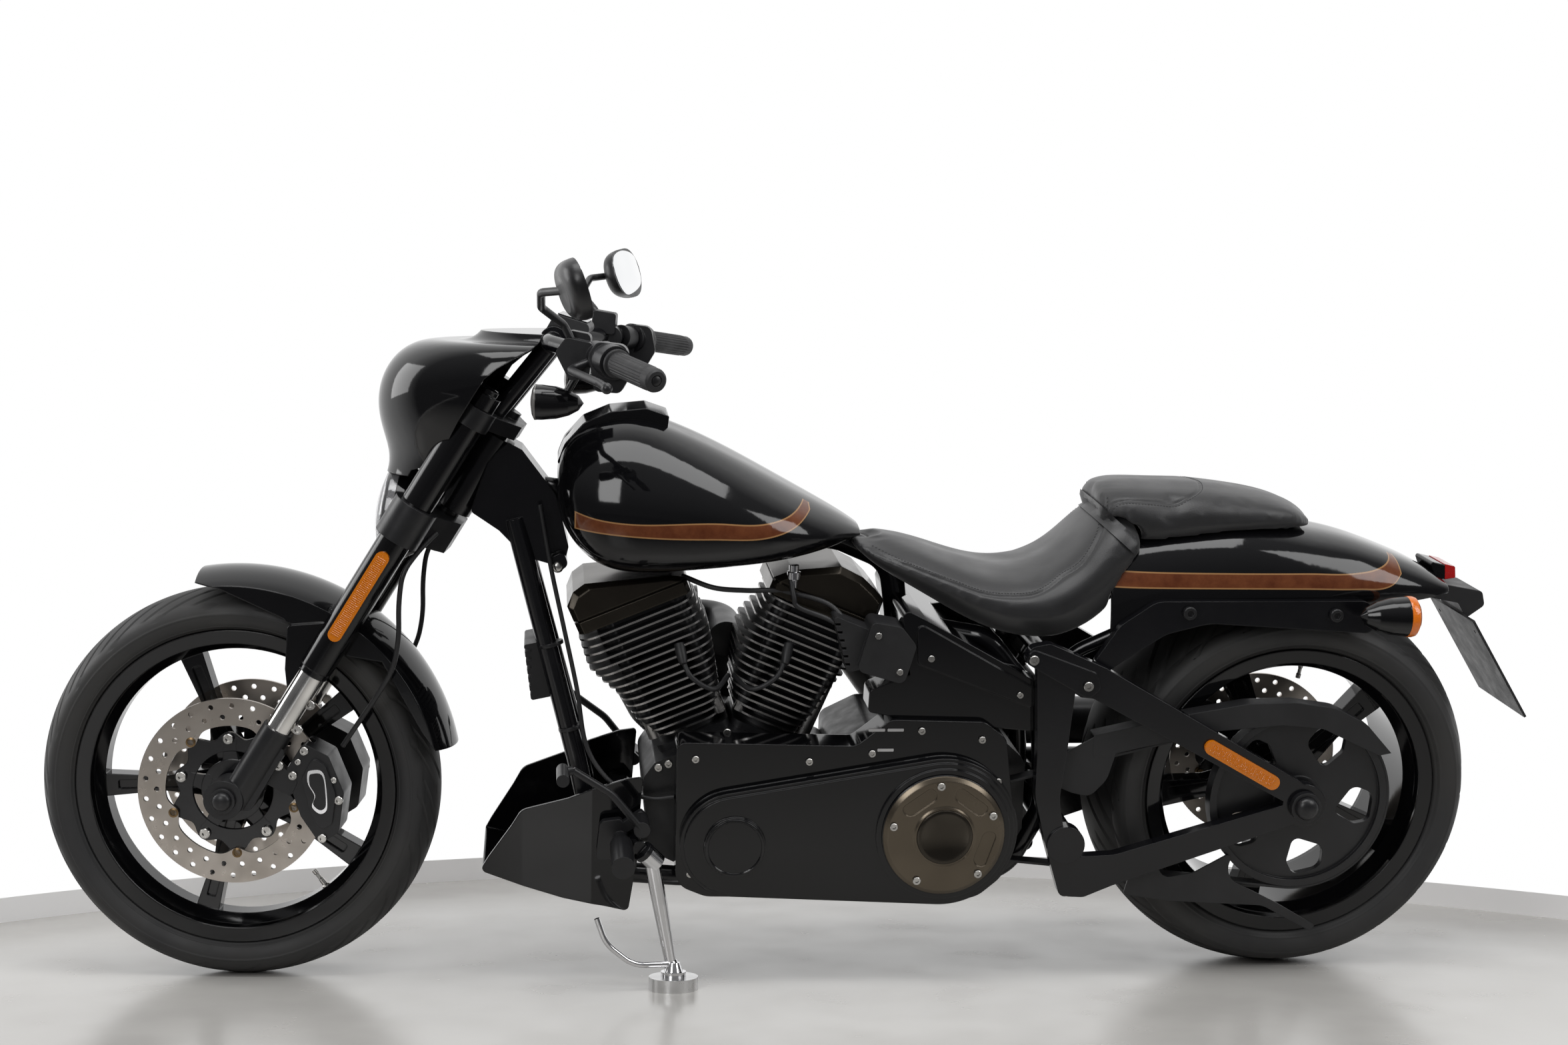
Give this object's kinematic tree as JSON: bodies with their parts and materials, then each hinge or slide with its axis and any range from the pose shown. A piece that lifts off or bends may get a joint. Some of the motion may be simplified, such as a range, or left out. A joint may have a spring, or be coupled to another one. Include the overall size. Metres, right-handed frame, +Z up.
{
  "type": "cruiser motorcycle",
  "caption": "Long, low cruiser motorcycle with a finned V engine, cast spoke wheels, small fork fairing, stepped saddle and a side stand that holds it leaning.",
  "frame": {"origin": "middle of the footprint of the whole machine, on the floor it stands on", "axes": "+X rearwards along the machine, +Y towards the rider's right, +Z up"},
  "size_m": [2.4311, 0.9844, 1.2242],
  "materials": {
    "gloss_black": "deep gloss",
    "satin_black": "satin",
    "smoked_metal": "smoky gloss",
    "tyre_rubber": "matte",
    "soft_rubber": "matte",
    "seat_cover": "fine grain",
    "bright_steel": "mirror",
    "plain_steel": "ground",
    "light_alloy": "brushed",
    "black_plastic": "matte",
    "amber_plastic": "clear gloss"
  },
  "bodies": {
    "chassis": {"frame": "gloss_black", "fuel_tank": "gloss_black", "tank_console": "gloss_black", "rider_seat": "seat_cover", "pillion_seat": "seat_cover", "rear_fender": "gloss_black", "fender_struts": "gloss_black", "engine_cases": "satin_black", "front_cylinder": "satin_black", "rear_cylinder": "satin_black", "rocker_boxes": "smoked_metal", "primary_cover": "gloss_black", "derby_cover": "smoked_metal", "air_cleaner": "black_plastic", "exhaust": "satin_black", "oil_tank": "gloss_black", "coil_box": "satin_black", "chin_spoiler": "gloss_black", "regulator": "satin_black", "foot_controls": "satin_black", "rear_lamps": "gloss_black", "plate_bracket": "satin_black", "swingarm": "gloss_black", "swingarm_reflectors": "amber_plastic", "rear_axle": "plain_steel", "drive_belt": "soft_rubber", "belt_guard": "black_plastic", "rear_caliper": "gloss_black"},
    "rear_wheel": {"rear_tyre": "tyre_rubber", "rear_rim": "gloss_black", "rear_disc": "plain_steel", "rear_pulley": "satin_black"},
    "front_fork": {"fork_tubes": "gloss_black", "stanchions": "bright_steel", "fork_lowers": "gloss_black", "front_axle": "plain_steel", "front_calipers": "gloss_black", "triple_clamps": "gloss_black", "handlebar": "gloss_black", "grips": "soft_rubber", "bar_controls": "satin_black", "mirrors": "gloss_black", "front_signals": "gloss_black", "fairing": "gloss_black", "headlamp": "gloss_black", "instrument": "black_plastic", "front_fender": "gloss_black", "fork_reflectors": "amber_plastic", "brake_hoses": "soft_rubber"},
    "front_wheel": {"front_tyre": "tyre_rubber", "front_rim": "gloss_black", "front_discs": "plain_steel"},
    "side_stand": {"stand_leg": "bright_steel", "stand_pad": "light_alloy"}
  },
  "joints": [
    {"name": "steering", "type": "hinge", "parent": "chassis", "child": "front_fork", "pos_m": [-0.56639, 0.08081, 0.75562], "axis": [0.5149, -0.1763, 0.839], "range_deg": [-22.5, 37.5]},
    {"name": "front_wheel_spin", "type": "hinge", "parent": "front_fork", "child": "front_wheel", "pos_m": [-0.89771, 0.18003, 0.31707], "axis": [0.1117, 0.9841, 0.1383], "continuous": true},
    {"name": "rear_wheel_spin", "type": "hinge", "parent": "chassis", "child": "rear_wheel", "pos_m": [0.8119, 0.17213, 0.32144], "axis": [0, 0.9786, 0.2057], "continuous": true},
    {"name": "stand_fold", "type": "hinge", "parent": "chassis", "child": "side_stand", "pos_m": [-0.24608, -0.00474, 0.20984], "axis": [-0.6941, -0.3093, 0.6501], "range_deg": [0, 105]}
  ]
}
